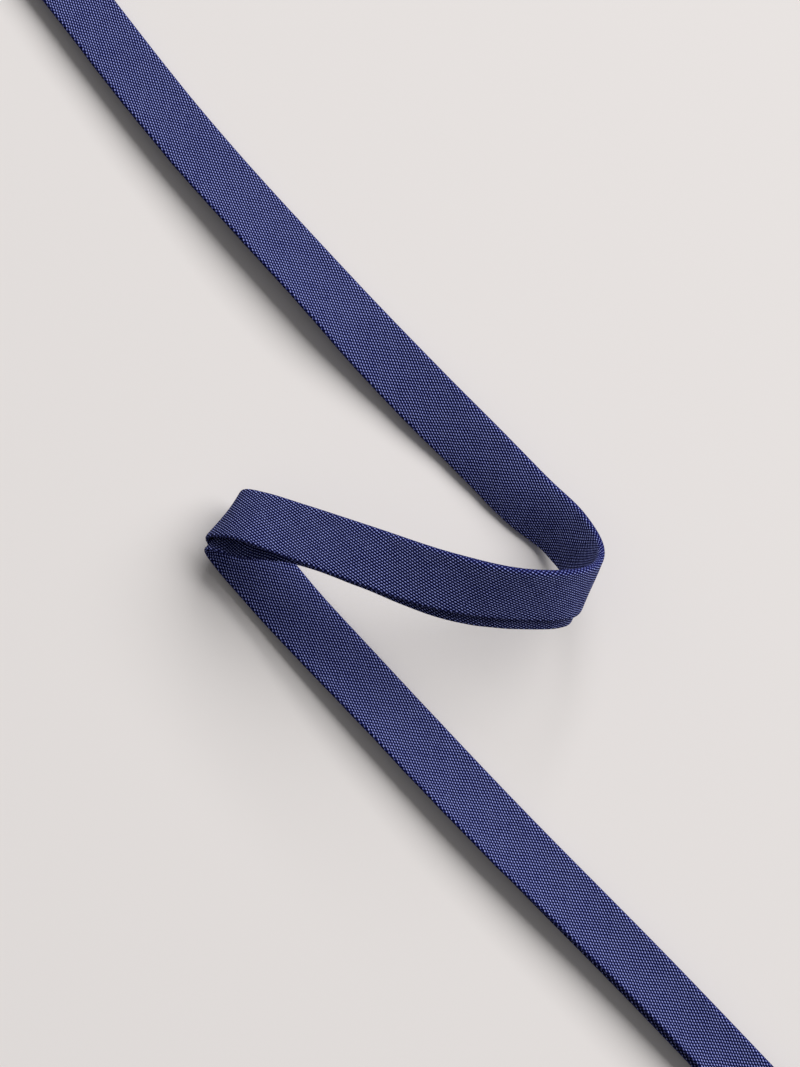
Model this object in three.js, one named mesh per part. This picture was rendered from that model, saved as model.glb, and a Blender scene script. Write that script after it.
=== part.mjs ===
// A cut length of double-fold bias tape, 8 mm (5/16 inch) wide, lying loosely in a Z.
// Millimetres, +Z up. The surface that it lies on is z = 0, and the origin is the
// middle of the part's footprint.
//
// The tape is one strip of cloth cut on the bias. Both raw edges are turned in, and the
// strip is then folded in half along its spine. That leaves a lower leaf and an upper
// leaf, each of two layers, joined at the spine and open along the other side, the mouth.

import * as THREE from 'three';

// The cloth and its folds
const CLOTH = 0.3;
const PLY_GAP = 0.15;
const LEAF_GAP = 0.2;
const LEAF_WIDTH = 8.05;
const RAW_EDGE_FROM_SPINE = 1.2;
const LEAF = 2 * CLOTH + PLY_GAP;
const HEM_RADIUS = (CLOTH + PLY_GAP) / 2;
const SPINE_REACH = LEAF + LEAF_GAP / 2;
const SPINE_RADIUS = SPINE_REACH - CLOTH / 2;

// Smoothness of the folds and of the run
const HEM_STEPS = 3;
const SPINE_STEPS = 6;
const LONGEST_STEP = 6;
const LARGEST_TURN = THREE.MathUtils.degToRad(6);
const NUDGE = 0.02;

const NAVY = 0x3b4170;

// The run of the tape, from its first cut end to its last. Each row is one place:
// where the spine is in plan, how high the lower leaf's spine and mouth are lifted, the
// heading in plan from the spine to the mouth in degrees from +X, how many degrees the
// upper leaf has sprung open, and how far it reaches past the lower one.
const COLUMNS = ['x', 'y', 'spineLift', 'mouthLift', 'heading', 'open', 'lip'];
const RUN = [
  // place            x      y      spine  mouth heading open  lip
  ['cut end',       -50.0,  87.0,   0.0,   0.0,  217,   20,   0.5],
  ['first flat',    -29.1,  59.8,   0.0,   0.0,  218,   23,   0.5],
  ['first flat',     -8.6,  36.5,   0.0,   0.0,  222,   26,   0.5],
  ['leaves meet',     4.5,  22.8,   0.0,   0.0,  224,   12,   0.5],
  ['leaves meet',    12.3,  14.6,   0.0,   0.0,  224,    3,   0.4],
  ['lifts off',      18.8,   7.6,   1.1,   0.0,  224,    2,   0.2],
  ['right curl',     23.1,   2.6,   3.5,   0.8,  227,    2,  -0.2],
  ['right curl',     25.5,  -2.6,   8.3,   4.3,  236,    2,   0.3],
  ['right curl',     24.5,  -6.3,  14.0,   9.6,  250,    2,   1.0],
  ['right curl',     20.7,  -8.1,  18.6,  14.6,  257,    2,   1.4],
  ['highest',        13.9,  -8.2,  21.2,  17.1,  258,    3,   1.5],
  ['comes back',      4.9,  -5.8,  20.3,  17.3,  256,   10,   1.0],
  ['comes back',     -5.2,  -1.7,  16.0,  15.4,  247,   18,   0.4],
  ['comes back',    -15.2,   2.5,  11.0,  12.0,  245,   18,  -0.3],
  ['left curl',     -20.6,   4.7,   7.9,   9.6,  242,    7,   0.8],
  ['left curl',     -23.4,   5.6,   5.2,   6.9,  240,    4,   1.2],
  ['left curl',     -23.6,   5.0,   2.5,   4.0,  229,    4,   1.3],
  ['left curl',     -22.1,   3.0,   0.7,   1.6,  219,    4,   1.3],
  ['lands',         -19.6,  -0.1,   0.0,   0.1,  218,    4,   1.1],
  ['last flat',     -13.8,  -7.3,   0.0,   0.0,  220,    6,   0.7],
  ['leaves part',    -5.8, -16.1,   0.0,   0.0,  222,   20,   0.6],
  ['last flat',      13.5, -36.8,   0.0,   0.0,  224,   26,   0.5],
  ['last flat',      34.6, -58.6,   0.0,   0.0,  224,   31,   0.5],
  ['cut end',        56.4, -81.6,   0.0,   0.0,  224,   34,   0.5],
];

// Distance along the spine at each row, and a smooth curve through each column
function runCurve() {
  const values = RUN.map((row) => row.slice(1));
  const spine = values.map(([x, y, lift]) => new THREE.Vector3(x, y, lift));
  const along = [0];
  for (let i = 1; i < spine.length; i++) {
    along.push(along[i - 1] + spine[i].distanceTo(spine[i - 1]));
  }
  const curve = new THREE.CubicInterpolant(along, values.flat(), COLUMNS.length);
  return { along, curve };
}

const { along: rowAt, curve: runAt } = runCurve();

function settings(distance) {
  const values = runAt.evaluate(distance);
  return Object.fromEntries(COLUMNS.map((column, i) => [column, values[i]]));
}

// The lower leaf's middle plane at the spine, resting on or above the surface
function spinePoint({ x, y, spineLift }) {
  return new THREE.Vector3(x, y, Math.max(spineLift, 0) + LEAF / 2);
}

function towardMouth({ spineLift, mouthLift, heading }) {
  const rise = (Math.max(mouthLift, 0) - Math.max(spineLift, 0)) / LEAF_WIDTH;
  const level = Math.sqrt(1 - rise * rise);
  const angle = THREE.MathUtils.degToRad(heading);
  return new THREE.Vector3(level * Math.cos(angle), level * Math.sin(angle), rise);
}

// Origin and axes of the cross-section: toMouth runs across the leaf, toUpper points
// from the lower leaf to the upper one
function sectionFrame(distance) {
  const here = settings(distance);
  const ahead = spinePoint(settings(Math.min(distance + NUDGE, rowAt.at(-1))));
  const behind = spinePoint(settings(Math.max(distance - NUDGE, 0)));
  const travel = ahead.sub(behind).normalize();
  const toMouth = towardMouth(here);
  const toUpper = new THREE.Vector3().crossVectors(toMouth, travel).normalize();
  return { here, spine: spinePoint(here), toMouth, toUpper };
}

// One leaf's cloth, from its raw edge around the hem fold at the mouth. Each point has
// the side that the right side of the cloth faces.
function leafLine(along, outward, length) {
  const point = (reach, height, turn) => {
    const facing = along.clone().multiplyScalar(Math.cos(turn));
    facing.addScaledVector(outward, Math.sin(turn));
    const at = new THREE.Vector2().addScaledVector(along, reach).addScaledVector(outward, height);
    return { at, facing };
  };
  const middle = (LEAF_GAP + LEAF) / 2;
  const inward = -Math.PI / 2;
  const line = [point(RAW_EDGE_FROM_SPINE, middle - HEM_RADIUS, inward)];
  for (let i = 0; i <= HEM_STEPS; i++) {
    const turn = inward + (Math.PI * i) / HEM_STEPS;
    const reach = length - LEAF / 2 + HEM_RADIUS * Math.cos(turn);
    line.push(point(reach, middle + HEM_RADIUS * Math.sin(turn), turn));
  }
  return line;
}

// The spine fold, from the upper leaf around to the lower one
function spineLine(open) {
  const from = Math.PI / 2 + open;
  const to = (3 * Math.PI) / 2;
  return Array.from({ length: SPINE_STEPS + 1 }, (_, i) => {
    const turn = from + ((to - from) * i) / SPINE_STEPS;
    const facing = new THREE.Vector2(Math.cos(turn), Math.sin(turn));
    return { at: facing.clone().multiplyScalar(SPINE_RADIUS), facing };
  });
}

// Closed outline of the cut cloth in section coordinates, x to the mouth and y up
function sectionOutline({ open, lip }) {
  const openAngle = THREE.MathUtils.degToRad(open);
  const length = LEAF_WIDTH - SPINE_REACH;
  const upperAlong = new THREE.Vector2(Math.cos(openAngle), Math.sin(openAngle));
  const upperOut = new THREE.Vector2(-Math.sin(openAngle), Math.cos(openAngle));
  const upper = leafLine(upperAlong, upperOut, length + lip);
  const lower = leafLine(new THREE.Vector2(1, 0), new THREE.Vector2(0, -1), length);
  const line = [...upper, ...spineLine(openAngle), ...lower.reverse()];
  const centre = new THREE.Vector2(SPINE_REACH, (LEAF + LEAF_GAP) / 2);
  const offset = (side) => ({ at, facing }) =>
    at.clone().addScaledVector(facing, (side * CLOTH) / 2).add(centre);
  return [...line.map(offset(1)), ...line.map(offset(-1)).reverse()];
}

// Distances of the cross-sections: close together where the tape turns over
function stations() {
  const distances = [0];
  for (let i = 1; i < rowAt.length; i++) {
    const length = rowAt[i] - rowAt[i - 1];
    const turn = sectionFrame(rowAt[i]).toUpper.angleTo(sectionFrame(rowAt[i - 1]).toUpper);
    const steps = Math.ceil(Math.max(length / LONGEST_STEP, turn / LARGEST_TURN));
    for (let j = 1; j <= steps; j++) distances.push(rowAt[i - 1] + (length * j) / steps);
  }
  return distances;
}

function tapeGeometry() {
  const positions = [];
  const outlines = stations().map((distance) => {
    const { here, spine, toMouth, toUpper } = sectionFrame(distance);
    const outline = sectionOutline(here);
    for (const { x, y } of outline) {
      const corner = spine.clone().addScaledVector(toMouth, x).addScaledVector(toUpper, y);
      positions.push(...corner);
    }
    return outline;
  });
  const around = outlines[0].length;
  const last = (outlines.length - 1) * around;
  const faces = [];
  for (let ring = 0; ring < last; ring += around) {
    for (let i = 0; i < around; i++) {
      const j = (i + 1) % around;
      faces.push(ring + i, ring + around + i, ring + j);
      faces.push(ring + j, ring + around + i, ring + around + j);
    }
  }
  for (const [a, b, c] of THREE.ShapeUtils.triangulateShape(outlines[0], [])) {
    faces.push(a, b, c);
  }
  for (const [a, b, c] of THREE.ShapeUtils.triangulateShape(outlines.at(-1), [])) {
    faces.push(last + a, last + c, last + b);
  }
  const geometry = new THREE.BufferGeometry();
  geometry.setAttribute('position', new THREE.Float32BufferAttribute(positions, 3));
  geometry.setIndex(faces);
  geometry.computeVertexNormals();
  return geometry;
}

const cotton = new THREE.MeshStandardMaterial({ color: NAVY, roughness: 0.9, metalness: 0 });
const tape = new THREE.Mesh(tapeGeometry(), cotton);
tape.name = 'tape';

const part = new THREE.Group();
part.add(tape);

export default part;
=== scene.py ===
# %% [markdown]
# # A length of double-fold bias tape
#
# Bias tape is a narrow strip of cotton, cut across the grain at 45 degrees so that it can
# stretch around a curve. Both raw edges are turned in and pressed, and the strip is then
# folded in half. The result is two leaves that join at the spine fold and part at the
# mouth. This length lies in a loose Z: flat, up and over in a curl, back, and flat again.
#
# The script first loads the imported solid, which gives the size and the place of the tape.
# The cloth is made in that frame: worked out in millimetres, and built in metres.

# %% Load the frame
import math

import bpy
import numpy as np
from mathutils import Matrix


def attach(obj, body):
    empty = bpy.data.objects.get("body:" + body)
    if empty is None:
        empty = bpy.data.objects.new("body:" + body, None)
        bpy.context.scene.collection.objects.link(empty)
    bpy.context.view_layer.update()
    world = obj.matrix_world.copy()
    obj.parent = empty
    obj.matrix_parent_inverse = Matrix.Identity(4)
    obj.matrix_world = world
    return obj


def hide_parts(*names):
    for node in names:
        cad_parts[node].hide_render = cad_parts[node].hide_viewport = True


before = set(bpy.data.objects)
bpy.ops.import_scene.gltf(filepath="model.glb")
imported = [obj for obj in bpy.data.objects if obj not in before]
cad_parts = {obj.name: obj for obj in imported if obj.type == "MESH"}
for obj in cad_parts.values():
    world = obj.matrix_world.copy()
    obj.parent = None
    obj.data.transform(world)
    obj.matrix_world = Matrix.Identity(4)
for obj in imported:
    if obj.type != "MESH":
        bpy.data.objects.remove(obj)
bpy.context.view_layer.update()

bpy.ops.object.select_all(action="DESELECT")

MM = 0.001

# %% [markdown]
# ## Camera
#
# The photograph looks almost straight down, tilted ten degrees. A camera with its target
# slightly off the part's middle, at a known distance, frames it the same way. The height
# of the view at the target sets the lens angle, so the scale can be read off directly.

# %% Place the camera
VIEW_TARGET = (-2.1 * MM, 0.4 * MM, 0.0)
VIEW_DISTANCE = 0.52
VIEW_TILT = math.radians(10)
VIEW_HEIGHT = 148.2 * MM

bpy.ops.object.camera_add(
    location=(
        VIEW_TARGET[0],
        VIEW_TARGET[1] - VIEW_DISTANCE * math.sin(VIEW_TILT),
        VIEW_TARGET[2] + VIEW_DISTANCE * math.cos(VIEW_TILT),
    ),
    rotation=(VIEW_TILT, 0, 0),
)
camera = bpy.context.object
camera.data.sensor_fit = "VERTICAL"
camera.data.angle_y = 2 * math.atan(VIEW_HEIGHT / 2 / VIEW_DISTANCE)
bpy.context.scene.camera = camera
print("camera angle:", round(math.degrees(camera.data.angle_y), 2))

# %% [markdown]
# ## The run of the tape
#
# A sewing pattern would mark the tape at a few places and let the cloth find its own curve
# between them. This table does the same. Each row is one place along the run, in
# millimetres and degrees: where the spine is, how high spine and mouth are lifted, which
# way the leaf points in plan, how far the upper leaf has sprung open, and how far it
# reaches past the lower one. The last two columns bend the leaves themselves between
# spine and mouth: positive curls the mouth up, negative arches the leaf over.

# %% Rows of the run
COLUMNS = ["x", "y", "spine_lift", "mouth_lift", "heading", "open", "lip", "upper_curl", "lower_curl"]
RUN = [
    # place            x      y     spine  mouth heading open  lip  curls
    ("cut end",       -50.0,  87.0,   0.0,   0.0,  217,  12,  0.6,   5,   0),
    ("first flat",    -29.1,  59.8,   0.2,   0.2,  218,  14,  0.7,   5,   0),
    ("first flat",     -8.6,  36.5,   0.7,   0.3,  222,  17,  0.8,  10,   0),
    ("leaves meet",     4.3,  22.5,   2.1,   0.0,  224,   7,  0.6,   0,  -6),
    ("leaves meet",    12.0,  14.3,   3.4,   0.0,  224,   3,  0.6, -20, -20),
    ("lifts off",      18.6,   7.2,   4.3,   0.0,  224,   2,  0.8, -26, -26),
    ("right curl",     23.1,   2.3,   6.1,   0.8,  227,   2,  0.7, -22, -22),
    ("right curl",     25.5,  -2.8,   9.8,   4.3,  236,   2,  0.7, -14, -14),
    ("right curl",     24.5,  -6.3,  14.8,   9.6,  248,   2,  1.8,   0,   0),
    ("right curl",     20.7,  -8.1,  19.3,  13.8,  257,   3,  2.2,   0,   0),
    ("highest",        13.9,  -8.3,  21.6,  16.2,  258,   4,  2.3,   0,   0),
    ("comes back",      4.9,  -5.9,  20.4,  17.0,  256,   9,  1.8,   0,   0),
    ("comes back",     -5.2,  -1.7,  16.0,  15.4,  247,  18,  0.5,   0,   0),
    ("comes back",    -15.2,   2.5,  11.0,  12.0,  245,  24,  0.3,   0,   0),
    ("left curl",     -20.6,   4.7,   7.9,   9.6,  243,  20,  1.4,   0,   0),
    ("left curl",     -23.4,   5.6,   5.2,   6.9,  243,  13,  1.6,   0,   0),
    ("left curl",     -23.6,   5.0,   2.5,   4.0,  230,   7,  1.4,   0,   0),
    ("left curl",     -22.1,   3.0,   0.7,   1.6,  219,   5,  1.3,   0,   0),
    ("lands",         -19.6,  -0.1,   0.0,   0.1,  218,   4,  1.1, -10,   0),
    ("last flat",     -13.8,  -7.3,   0.0,   0.0,  220,   5,  0.7,  -5,   0),
    ("leaves part",    -5.8, -16.1,   0.0,   0.0,  222,  12,  0.7,  10,   0),
    ("last flat",      13.5, -36.8,   0.4,   0.2,  224,  17,  0.7,  16,   0),
    ("last flat",      34.6, -58.6,   1.9,   0.8,  224,  16, -0.3,  22,   0),
    ("cut end",        56.4, -81.6,   2.1,   0.9,  224,  16, -0.5,  24,   0),
]

run_rows = np.array([row[1:] for row in RUN])
spine_rows = run_rows[:, :3]
row_at = np.concatenate([[0], np.cumsum(np.linalg.norm(np.diff(spine_rows, axis=0), axis=1))])
print("length along the spine:", round(float(row_at[-1]), 1), "mm")

# %% [markdown]
# Between the rows every column follows one smooth cubic. Its slope at a row is the mean
# of the slopes on both sides, so the strip passes through its marks without a kink. Where
# a lift would dip below the surface, the frames of the next step hold it at zero.


# %% Smooth curve through the rows
def run_values(distance):
    """All columns at distances along the spine, one row for each distance."""
    chord = np.diff(run_rows, axis=0) / np.diff(row_at)[:, None]
    slope = np.vstack([chord[:1], (chord[1:] + chord[:-1]) / 2, chord[-1:]])
    span = np.clip(np.searchsorted(row_at, distance, side="right") - 1, 0, len(row_at) - 2)
    length = (row_at[span + 1] - row_at[span])[:, None]
    t = (distance[:, None] - row_at[span][:, None]) / length
    start = run_rows[span] * (2 * t**3 - 3 * t**2 + 1) + slope[span] * length * (t**3 - 2 * t**2 + t)
    end = run_rows[span + 1] * (3 * t**2 - 2 * t**3) + slope[span + 1] * length * (t**3 - t**2)
    return dict(zip(COLUMNS, (start + end).T))


# %% [markdown]
# ## Frames along the run
#
# At each place the cloth needs three directions: across the leaf from spine to mouth, out
# of the lower leaf towards the upper one, and along the run. The spine point rests half
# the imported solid's leaf thickness above the surface, so the lower leaf lies on it.

# %% Directions of the cross-section
LEAF_WIDTH = 8.05
SOLID_LEAF = 0.75
REST_HEIGHT = SOLID_LEAF / 2
NUDGE = 0.02


def spine_points(at):
    """The lower leaf's middle plane at the spine."""
    return np.stack([at["x"], at["y"], np.maximum(at["spine_lift"], 0) + REST_HEIGHT], axis=1)


def unit(vectors):
    """Each row scaled to length 1."""
    return vectors / np.linalg.norm(vectors, axis=1)[:, None]


def section_frames(distance):
    """Spine point, direction to the mouth and direction to the upper leaf."""
    at = run_values(distance)
    ahead = spine_points(run_values(np.minimum(distance + NUDGE, row_at[-1])))
    behind = spine_points(run_values(np.maximum(distance - NUDGE, 0)))
    rise = (np.maximum(at["mouth_lift"], 0) - np.maximum(at["spine_lift"], 0)) / LEAF_WIDTH
    level = np.sqrt(1 - rise**2)
    heading = np.radians(at["heading"])
    to_mouth = np.stack([level * np.cos(heading), level * np.sin(heading), rise], axis=1)
    to_upper = unit(np.cross(to_mouth, unit(ahead - behind)))
    return at, spine_points(at), to_mouth, to_upper


# %% [markdown]
# ## The folded cloth
#
# A cross-section of the real tape is one line of cloth: raw edge, turned-in layer, hem
# fold, outer layer, spine fold, and the same again in reverse. The line is drawn once
# from the fold sizes, for all places at the same time, with the angle that the right side
# of the cloth faces. Pressed hems stay slightly fat, because the fold springs back, so
# the layers lie closer together at the raw edge than at the hem. Points lie close
# together in the folds, and along the flat layers they only carry the ripples.

# %% Sizes of the folds
CLOTH = 0.2
SPINE_THICKNESS = 1.1
HEM_THICKNESS = 0.62
RAW_EDGE_GAP = 0.04
RAW_EDGE_FROM_SPINE = 1.2

SPINE_RADIUS = (SPINE_THICKNESS - CLOTH) / 2
HEM_RADIUS = (HEM_THICKNESS - CLOTH) / 2
SPINE_CENTRE = (SPINE_THICKNESS / 2, SPINE_THICKNESS / 2 - REST_HEIGHT)
FLAT_POINTS = 12
HEM_POINTS = 9
SPINE_POINTS = 13


# %% One leaf
def leaf_turns():
    """Facing of a flat leaf's points: along the turned layer, the hem and the outer layer."""
    flat = np.full(FLAT_POINTS, math.pi / 2)
    hem = np.linspace(-math.pi / 2, math.pi / 2, HEM_POINTS)[1:-1]
    return np.concatenate([-flat, hem, flat[:-1]])


LEAF_TURNS = leaf_turns()
HEM_TIP = FLAT_POINTS + HEM_POINTS // 2 - 1
print("points on a leaf:", len(LEAF_TURNS), "with the hem's tip at", HEM_TIP)


def leaf_line(length):
    """Reach and height over the leaf gap of flat leaves, from the raw edge to the spine."""
    across = np.linspace(0, 1, FLAT_POINTS)[None, :]
    raw_reach = RAW_EDGE_FROM_SPINE - SPINE_CENTRE[0]
    raw_height = SPINE_RADIUS - CLOTH - RAW_EDGE_GAP
    hem_reach = (length - HEM_RADIUS - CLOTH / 2)[:, None]
    hem_height = SPINE_RADIUS - 2 * HEM_RADIUS

    turned_reach = raw_reach + (hem_reach - raw_reach) * across
    turned_height = raw_height + (hem_height - raw_height) * across
    hem_turn = LEAF_TURNS[None, FLAT_POINTS : 1 - FLAT_POINTS]
    hem_fold_reach = hem_reach + HEM_RADIUS * np.cos(hem_turn)
    hem_fold_height = SPINE_RADIUS - HEM_RADIUS + HEM_RADIUS * np.sin(hem_turn)
    outer_reach = (hem_reach * (1 - across))[:, :-1]
    outer_height = np.full((1, FLAT_POINTS - 1), SPINE_RADIUS)

    reach = np.hstack([turned_reach, hem_fold_reach, outer_reach])
    height = np.hstack([turned_height, hem_fold_height, outer_height])
    return reach, np.broadcast_to(height, reach.shape)


def bent_leaf(length, curl):
    """Leaves bent into an arc whose chord stays where the flat leaf was, with their facing."""
    reach, height = leaf_line(length)
    per_mm = (np.radians(curl) / length)[:, None]
    length = length[:, None]
    slope = per_mm * (reach - length / 2)
    bulge = per_mm * reach * (reach - length) / 2
    return reach - height * np.sin(slope), bulge + height * np.cos(slope), LEAF_TURNS + slope


# %% [markdown]
# The two leaves and the spine fold between them make the whole line. The fold's ends meet
# the leaves at the angle to which they are opened and curled, so the cloth has no corner.


# %% The whole line
def upper_line(at, opening):
    """The upper leaf from its raw edge, turned open about the middle of the spine fold."""
    length = LEAF_WIDTH - SPINE_CENTRE[0] + at["lip"]
    reach, height, turn = bent_leaf(length, at["upper_curl"])
    x = reach * np.cos(opening) - height * np.sin(opening)
    y = reach * np.sin(opening) + height * np.cos(opening)
    return x, y, turn + opening


def spine_line(at, opening):
    """The fold between the leaves."""
    start = math.pi / 2 + opening - np.radians(at["upper_curl"])[:, None] / 2
    end = 3 * math.pi / 2 - np.radians(at["lower_curl"])[:, None] / 2
    angle = start + (end - start) * np.linspace(0, 1, SPINE_POINTS)[None, :]
    return SPINE_RADIUS * np.cos(angle), SPINE_RADIUS * np.sin(angle), angle


def lower_line(at):
    """The lower leaf, which mirrors the upper one and runs back to its raw edge."""
    length = np.full(len(at["lower_curl"]), LEAF_WIDTH - SPINE_CENTRE[0])
    reach, height, turn = bent_leaf(length, -at["lower_curl"])
    return reach[:, ::-1], -height[:, ::-1], -turn[:, ::-1]


def width_from_spine(x, y):
    """Distance along the line from the middle of the spine fold, positive in the upper leaf."""
    steps = np.hypot(np.diff(x, axis=1), np.diff(y, axis=1))
    from_start = np.hstack([np.zeros((len(x), 1)), np.cumsum(steps, axis=1)])
    middle = x.shape[1] // 2
    return from_start[:, middle, None] - from_start


def section_line(at):
    """The cloth line of every place: points, facing, and width from the spine."""
    opening = np.radians(at["open"])[:, None]
    stretches = upper_line(at, opening), spine_line(at, opening), lower_line(at)
    x, y, angle = (np.hstack(values) for values in zip(*stretches))
    return x + SPINE_CENTRE[0], y + SPINE_CENTRE[1], angle, width_from_spine(x, y)


# %% [markdown]
# ## Small unevenness
#
# Tape that has been wound and handled is never quite flat. Slow ripples cross the leaves,
# because bias-cut cloth gives most along its length. They come from a few sine waves
# whose lengths don't divide each other, so nothing repeats by eye and every run of the
# script is the same. A leaf's two layers lie on each other, so they ripple as one. The
# ripples fade towards the spine, whose fold is stiff, and in a lower leaf that is lifted
# too little to be free of the surface.

# %% Ripples of the cloth
RIPPLES = [
    # height  along  across  phase   in mm, mm, mm and radians
    (0.045,   17.3,  23.0,   0.4),
    (0.030,    9.1, -14.0,   2.1),
    (0.018,    5.7,  11.0,   4.0),
    (0.012,    3.9,  -9.0,   1.2),
]
SPINE_GRIP = 2.0
FREE_LIFT = 3.0


def ripple(along, across):
    """Height of the ripples at a place of a leaf."""
    total = np.zeros_like(across)
    for height, length, width, phase in RIPPLES:
        total += height * np.sin(2 * math.pi * (along / length + across / width) + phase)
    return total


# %% [markdown]
# ## The mesh
#
# The line is swept along the run and given its two faces at once: every point of the line
# is pushed half the cloth's thickness to each side. That keeps the thickness true in the
# tight folds, where a Solidify modifier would pinch. Places lie close together where the
# tape is lifted and further apart where it is flat.

# %% Places along the run
FLAT_STEP = 1.0
CURL_STEP = 0.45


def places_along():
    """Distances of the cross-sections, finer where the spine is off the surface."""
    distances = [np.array([0.0])]
    for i in range(1, len(row_at)):
        lifted = spine_rows[i - 1 : i + 1, 2].max() > 0
        length = row_at[i] - row_at[i - 1]
        steps = math.ceil(length / (CURL_STEP if lifted else FLAT_STEP))
        distances.append(np.linspace(row_at[i - 1], row_at[i], steps + 1)[1:])
    return np.concatenate(distances)


distance = places_along()
at, spine, to_mouth, to_upper = section_frames(distance)
line_x, line_y, line_angle, across_cloth = section_line(at)
along_cloth = np.broadcast_to(distance[:, None], across_cloth.shape)
print("cross-sections:", len(distance), "points in each:", line_x.shape[1])


# %% Ripple the line
def along_line(leaf, spine_fold):
    """Values of one leaf and of the spine fold, laid out along the whole line."""
    return np.concatenate([leaf, spine_fold, leaf[::-1]])


def place_in_leaf():
    """Width from the spine, counted back again in the turned layer."""
    upper = np.minimum(across_cloth, 2 * across_cloth[:, HEM_TIP, None] - across_cloth)
    lower = np.maximum(across_cloth, 2 * across_cloth[:, -1 - HEM_TIP, None] - across_cloth)
    return np.where(across_cloth > 0, upper, lower)


def freedom():
    """Ripples fade out at the spine, and where the lower leaf lies on the surface."""
    from_spine = np.clip(np.abs(across_cloth) / SPINE_GRIP, 0, 1)
    lifted = np.clip(at["mouth_lift"] / FREE_LIFT, 0, 1)[:, None]
    return from_spine * np.where(across_cloth > 0, 1.0, lifted)


# The two layers of a leaf face opposite ways, so the same push has opposite signs in them
outer_side = along_line(np.sin(LEAF_TURNS), np.ones(SPINE_POINTS))
rippled = ripple(along_cloth, place_in_leaf()) * freedom() * outer_side
print("largest ripple:", round(float(np.abs(rippled).max()), 3), "mm")


# %% Two faces of the cloth
def cloth_face(side):
    """Points in metres, half the cloth's thickness to one side of the rippled line."""
    offset = side * CLOTH / 2 + rippled
    x = line_x + offset * np.cos(line_angle)
    y = line_y + offset * np.sin(line_angle)
    points = spine[:, None] + x[..., None] * to_mouth[:, None] + y[..., None] * to_upper[:, None]
    return points * MM


rings = np.concatenate([cloth_face(1), cloth_face(-1)[:, ::-1]], axis=1)
places, around = rings.shape[:2]
print("rings:", places, "corners in each:", around)

# %% [markdown]
# The weave is laid on the flat, unfolded cloth, so each corner keeps its place there, in
# millimetres, as its UV. It also gets a number that is 1 in the middle of a fold, where
# pressing has flattened the yarns, and 0 on the flat layers. The material uses it to
# flatten the relief and to paint shade along the folds.

# %% Place on the flat cloth, and folds
flat_place = np.stack([along_cloth, across_cloth], axis=2)
ring_uv = np.concatenate([flat_place, flat_place[:, ::-1]], axis=1)
fold_share = along_line(np.cos(LEAF_TURNS), np.sin(math.pi * np.linspace(0, 1, SPINE_POINTS)))
ring_fold = np.tile(np.concatenate([fold_share, fold_share[::-1]]), places)


# %% Join the rings into a closed sheet
SMOOTH_UP_TO = math.radians(50)


def sheet_faces():
    """Quads between neighbouring rings, and quads across the cloth at both cut ends."""
    faces = []
    for ring in range(places - 1):
        first = ring * around
        for i in range(around):
            j = (i + 1) % around
            faces.append((first + i, first + around + i, first + around + j, first + j))
    for first, turned in ((0, False), ((places - 1) * around, True)):
        for i in range(around // 2 - 1):
            quad = (first + i, first + i + 1, first + around - 2 - i, first + around - 1 - i)
            faces.append(quad[::-1] if turned else quad)
    return faces


tape_mesh = bpy.data.meshes.new("tape_cloth")
tape_mesh.from_pydata(rings.reshape(-1, 3).tolist(), [], sheet_faces())
uv_layer = tape_mesh.uv_layers.new(name="flat_cloth")
corner_vertex = np.empty(len(tape_mesh.loops), dtype=np.int32)
tape_mesh.loops.foreach_get("vertex_index", corner_vertex)
uv_layer.data.foreach_set("uv", ring_uv.reshape(-1, 2)[corner_vertex].astype(np.float32).ravel())
fold_layer = tape_mesh.attributes.new("fold", "FLOAT", "POINT")
fold_layer.data.foreach_set("value", ring_fold.astype(np.float32))
tape_mesh.validate()
tape = bpy.data.objects.new("folded_tape", tape_mesh)
bpy.context.collection.objects.link(tape)

bpy.context.view_layer.objects.active = tape
tape.select_set(True)
bpy.ops.object.shade_smooth_by_angle(angle=SMOOTH_UP_TO)
bpy.ops.object.mode_set(mode="EDIT")
bpy.ops.mesh.select_all(action="SELECT")
bpy.ops.mesh.normals_make_consistent(inside=False)
bpy.ops.object.mode_set(mode="OBJECT")
bpy.ops.object.select_all(action="DESELECT")
print("tape faces:", len(tape_mesh.polygons), "unfolded width:", round(float(np.ptp(across_cloth[0])), 1))

# %% [markdown]
# ## Shader maths in plain Python
#
# A weave is arithmetic: count the yarns, round, take what is left over. This small class
# wraps a socket, so that `a * b + 1` adds the Math nodes by itself.


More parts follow.
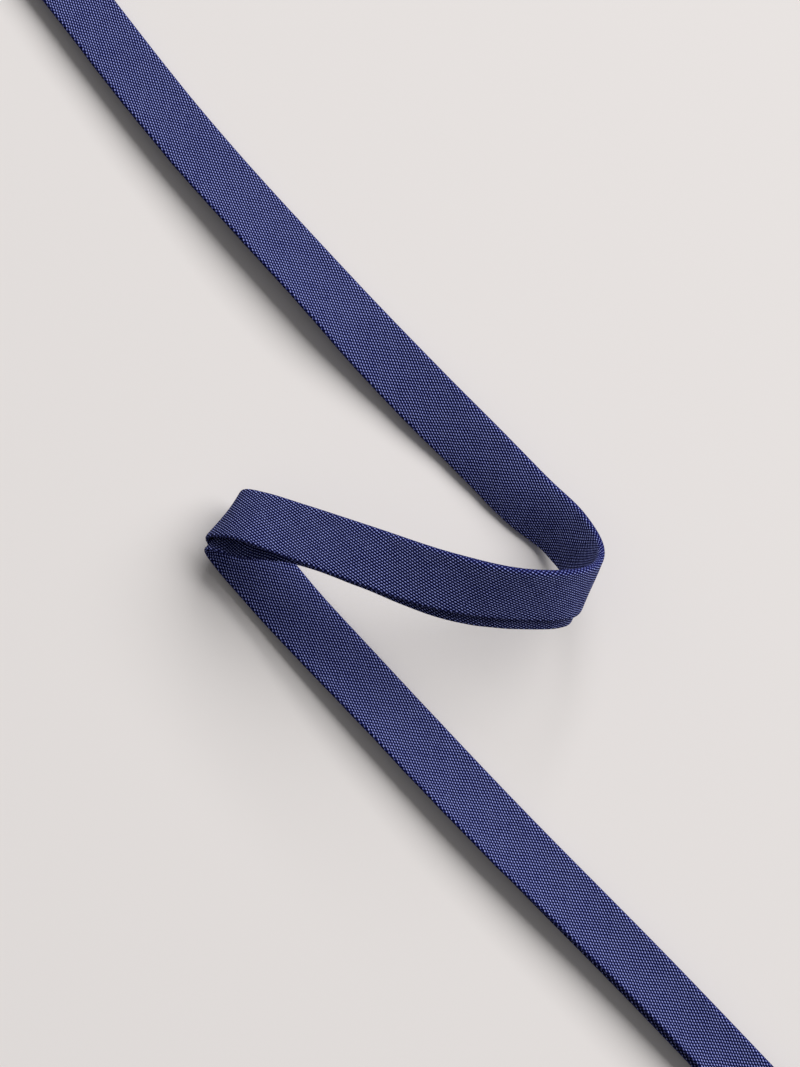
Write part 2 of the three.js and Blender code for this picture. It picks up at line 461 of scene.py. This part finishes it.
# %% A socket that can be calculated with
class Wire:
    """An output of a node tree. Calculating with it adds Math nodes."""

    def __init__(self, tree, socket=None):
        self.tree = tree
        self.socket = socket

    def node(self, kind, inputs=None, output=0, **settings):
        """Add a node, set its settings first and then its sockets, and return one output."""
        made = self.tree.nodes.new(kind)
        for name, value in settings.items():
            setattr(made, name, value)
        for name, value in (inputs or {}).items():
            if isinstance(value, Wire):
                self.tree.links.new(value.socket, made.inputs[name])
            else:
                made.inputs[name].default_value = value
        return Wire(self.tree, made.outputs[output])

    def math(self, operation, *values):
        return self.node("ShaderNodeMath", dict(enumerate(values)), operation=operation)

    def __add__(self, other):
        return self.math("ADD", self, other)

    def __sub__(self, other):
        return self.math("SUBTRACT", self, other)

    def __rsub__(self, other):
        return self.math("SUBTRACT", other, self)

    def __mul__(self, other):
        return self.math("MULTIPLY", self, other)

    def __pow__(self, other):
        return self.math("POWER", self, other)

    def __mod__(self, other):
        return self.math("FLOORED_MODULO", self, other)

    __radd__ = __add__
    __rmul__ = __mul__

    def floor(self):
        return self.math("FLOOR", self)

    def cos(self):
        return self.math("COSINE", self)

    def limit(self, low, high):
        return self.math("MINIMUM", self.math("MAXIMUM", self, low), high)

    def ramp(self, low, high):
        """A soft step from 0 at low to 1 at high."""
        stops = {"Value": self, "From Min": low, "From Max": high}
        return self.node("ShaderNodeMapRange", stops, interpolation_type="SMOOTHSTEP")

    def mix(self, low, high):
        """A colour between two colours, for which the node keeps sockets 6 and 7 and output 2."""
        colours = {"Factor": self, 6: low, 7: high}
        return self.node("ShaderNodeMix", colours, output=2, data_type="RGBA")


# %% [markdown]
# ## Navy poplin
#
# The cloth is a plain weave with about twice as many warp yarns as weft yarns, which gives
# poplin its fine ribs: every rib is one weft yarn, covered by the warp yarns that cross
# over it. In the unfolded cloth both systems run at about 45 degrees to the tape, so each
# count below is in yarns a millimetre along the tape and across it. A yarn is counted by
# one number that grows by 1 from yarn to yarn. Its whole part is the yarn's number, and
# the rest is the place across it. Where the two numbers add up to an even one the warp
# lies on top, and elsewhere it dives under. Its fibres are twisted, so each short float
# of it looks slanted. The floats line up in fine diagonals, which stand out a little. No
# yarn runs quite straight, so a slow noise makes all of them wander.
#
# The yarns are a pixel wide, and only the sum of what lies in a pixel is seen. So the
# holes are painted nearly black, as painted shade, and the crowns pale, as a painted
# highlight, and the average of them is navy.

# %% Weave
WARP_COUNT = (3.70, -3.72)
WEFT_COUNT = (1.617, 1.877)
TWIST = 0.9
WARP_WIDTH = 0.85
UNDER_HEIGHT = 0.38
WANDER_NOISE = {"Scale": 0.35, "Detail": 2.0}
WARP_WANDER = 0.9
WEFT_WANDER = 0.7
WARP_SHADE = 0.27
WEFT_SHADE = 0.18
FLOAT_SHADE = 0.55


def new_material(name):
    material = bpy.data.materials.new(name)
    material.use_nodes = True
    tree = material.node_tree
    shader = tree.nodes["Principled BSDF"]
    return material, Wire(tree), shader


def weave(wire):
    """Place on the flat cloth, height from 0 in a hole to 1 on a crown, diagonals and shade."""
    uv = wire.node("ShaderNodeUVMap", uv_map="flat_cloth")
    along = wire.node("ShaderNodeSeparateXYZ", {"Vector": uv}, output="X")
    across = wire.node("ShaderNodeSeparateXYZ", {"Vector": uv}, output="Y")
    wander = wire.node("ShaderNodeTexNoise", {"Vector": uv, **WANDER_NOISE})
    warp = WARP_COUNT[0] * along + WARP_COUNT[1] * across + WARP_WANDER * wander
    weft = WEFT_COUNT[0] * along + WEFT_COUNT[1] * across - WEFT_WANDER * wander
    warp_number = warp.floor()
    weft_number = weft.floor()
    across_warp = warp - warp_number - 0.5
    across_weft = weft - weft_number - 0.5

    slanted = (WARP_WIDTH * (across_warp - TWIST * across_weft)).limit(-0.5, 0.5)
    rib = (math.pi * across_weft).cos()
    parity = (warp_number + weft_number) % 2.0
    height = rib * (math.pi * slanted).cos() * (1 - (1 - UNDER_HEIGHT) * parity)
    diagonal = (math.pi * (warp - weft)).cos()

    warp_shade = wire.node("ShaderNodeTexWhiteNoise", {"W": warp_number}, noise_dimensions="1D")
    weft_shade = wire.node("ShaderNodeTexWhiteNoise", {"W": weft_number}, noise_dimensions="1D")
    numbers = wire.node("ShaderNodeCombineXYZ", {"X": warp_number, "Y": weft_number})
    float_shade = wire.node("ShaderNodeTexWhiteNoise", {"Vector": numbers}, noise_dimensions="2D")
    shade = WARP_SHADE * warp_shade + WEFT_SHADE * weft_shade + FLOAT_SHADE * float_shade
    return uv, height, diagonal, shade


# %% [markdown]
# The height decides the colour too: the holes between the yarns get painted shade and are
# nearly black, the yarns are dyed navy, and their crowns get a pale painted highlight. The
# painted highlight is stronger or weaker from float to float and in slow patches. In a
# pressed fold the yarns are flattened, so the relief fades there, and the painted highlight
# fades too, which paints shade along the folds. The cloth is matt and has next to no gloss.

# %% Colour and relief
# Painted shade: the holes between the yarns are painted nearly black.
HOLE_SHADE_COLOUR = (0.0, 0.0, 0.015, 1)
DYE_COLOUR = (0.009, 0.014, 0.150, 1)
# Painted highlight: the yarn crowns are painted pale, where the light catches them.
CROWN_HIGHLIGHT_COLOUR = (0.37, 0.42, 0.86, 1)
HOLE_HEIGHT = 0.5
DIAGONAL_SHARE = 0.35
# How sharply the painted highlight gathers on the crowns.
CROWN_HIGHLIGHT_SHARPNESS = 2.6
LEAST_SHADE = 0.30
PATCH_NOISE = {"Scale": 0.12, "Detail": 4.0}
PATCH_SHADE = 0.4
# Painted shade along the folds: this share takes the painted highlight off the crowns there, and also
# flattens the relief.
FOLD_FLATTEN_AND_SHADE_SHARE = 0.75
FLOAT_RELIEF = 0.03
DIAGONAL_RELIEF = 0.05
CLOTH_ROUGHNESS = 0.8
CLOTH_GLOSS = 0.05


def navy_poplin():
    material, wire, shader = new_material("navy_poplin")
    uv, height, diagonal, shade = weave(wire)
    patches = wire.node("ShaderNodeTexNoise", {"Vector": uv, **PATCH_NOISE})
    fold = wire.node("ShaderNodeAttribute", output="Fac", attribute_name="fold")
    # 1 away from the folds and lower in them, where it flattens the relief and paints shade.
    unpressed_and_unshaded = 1 - FOLD_FLATTEN_AND_SHADE_SHARE * fold

    # Painted shade in the holes between the yarns, over the navy dye.
    dye_and_hole_shade = height.ramp(0.0, HOLE_HEIGHT).mix(HOLE_SHADE_COLOUR, DYE_COLOUR)
    # Painted highlight on the yarn crowns, stronger along the diagonals, varying at random, and fading in
    # the folds.
    crown = (height * (1 + DIAGONAL_SHARE * diagonal)) ** CROWN_HIGHLIGHT_SHARPNESS
    crown = crown * (LEAST_SHADE + shade + PATCH_SHADE * patches) * unpressed_and_unshaded
    colour = crown.limit(0.0, 1.0).mix(dye_and_hole_shade, CROWN_HIGHLIGHT_COLOUR)
    wire.tree.links.new(colour.socket, shader.inputs["Base Color"])

    relief = (FLOAT_RELIEF * height + DIAGONAL_RELIEF * diagonal) * unpressed_and_unshaded
    bump = wire.node("ShaderNodeBump", {"Height": relief, "Strength": 1.0, "Distance": MM})
    wire.tree.links.new(bump.socket, shader.inputs["Normal"])
    shader.inputs["Roughness"].default_value = CLOTH_ROUGHNESS
    shader.inputs["Specular IOR Level"].default_value = CLOTH_GLOSS
    return material


tape.data.materials.append(navy_poplin())
print("nodes in the cloth's material:", len(tape.active_material.node_tree.nodes))

# %% What the piece is
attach(tape, "root")
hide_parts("tape")

# %% [markdown]
# ## Floor and light
#
# The tape lies on a plain pale floor. One large softbox stands high at the upper right, so
# the shadows fall to the lower left, with a dark core under the sprung leaf and a wide
# soft edge. The rest of the room fills in softly: mostly from above, less from the far
# side and hardly at all from the near side, so cloth that tilts to the near side is dark.

# %% Floor
FLOOR_SIDE = 3.0
FLOOR_COLOUR = (0.80, 0.762, 0.745, 1)
FLOOR_ROUGHNESS = 0.6
FLOOR_GLOSS = 0.2

bpy.ops.mesh.primitive_plane_add(size=FLOOR_SIDE)
floor = bpy.context.object
floor.name = "floor"
floor_material, _, floor_shader = new_material("pale_floor")
floor_shader.inputs["Base Color"].default_value = FLOOR_COLOUR
floor_shader.inputs["Roughness"].default_value = FLOOR_ROUGHNESS
floor_shader.inputs["Specular IOR Level"].default_value = FLOOR_GLOSS
floor.data.materials.append(floor_material)
print("floor side:", FLOOR_SIDE, "m")

# %% Softbox and fill
LIGHT_AZIMUTH = math.radians(42)
LIGHT_HEIGHT = math.radians(43)
LIGHT_DISTANCE = 2.7
LIGHT_SIZE = (1.8, 3.8)
LIGHT_POWER = 112

FILL_LEVEL = 0.05
FILL_EAST = -0.02
FILL_NORTH = 0.08
FILL_ABOVE = 0.21

bpy.ops.object.light_add(
    type="AREA",
    location=(
        LIGHT_DISTANCE * math.cos(LIGHT_HEIGHT) * math.cos(LIGHT_AZIMUTH),
        LIGHT_DISTANCE * math.cos(LIGHT_HEIGHT) * math.sin(LIGHT_AZIMUTH),
        LIGHT_DISTANCE * math.sin(LIGHT_HEIGHT),
    ),
    rotation=(0, math.pi / 2 - LIGHT_HEIGHT, LIGHT_AZIMUTH),
)
softbox = bpy.context.object
softbox.data.shape = "RECTANGLE"
softbox.data.size, softbox.data.size_y = LIGHT_SIZE
softbox.data.energy = LIGHT_POWER

world = bpy.data.worlds.new("room")
world.use_nodes = True
room = Wire(world.node_tree)
direction = room.node("ShaderNodeTexCoord")
east, north, above = (
    room.node("ShaderNodeSeparateXYZ", {"Vector": direction}, output=axis) for axis in "XYZ"
)
fill = FILL_LEVEL + FILL_EAST * east + FILL_NORTH * north + FILL_ABOVE * above
background = world.node_tree.nodes["Background"]
background.inputs["Color"].default_value = (1, 1, 1, 1)
world.node_tree.links.new(fill.limit(0.0, 1.0).socket, background.inputs["Strength"])
bpy.context.scene.world = world
bpy.context.scene.view_settings.view_transform = "Standard"
print("softbox power:", LIGHT_POWER, "W, fill level:", FILL_LEVEL)
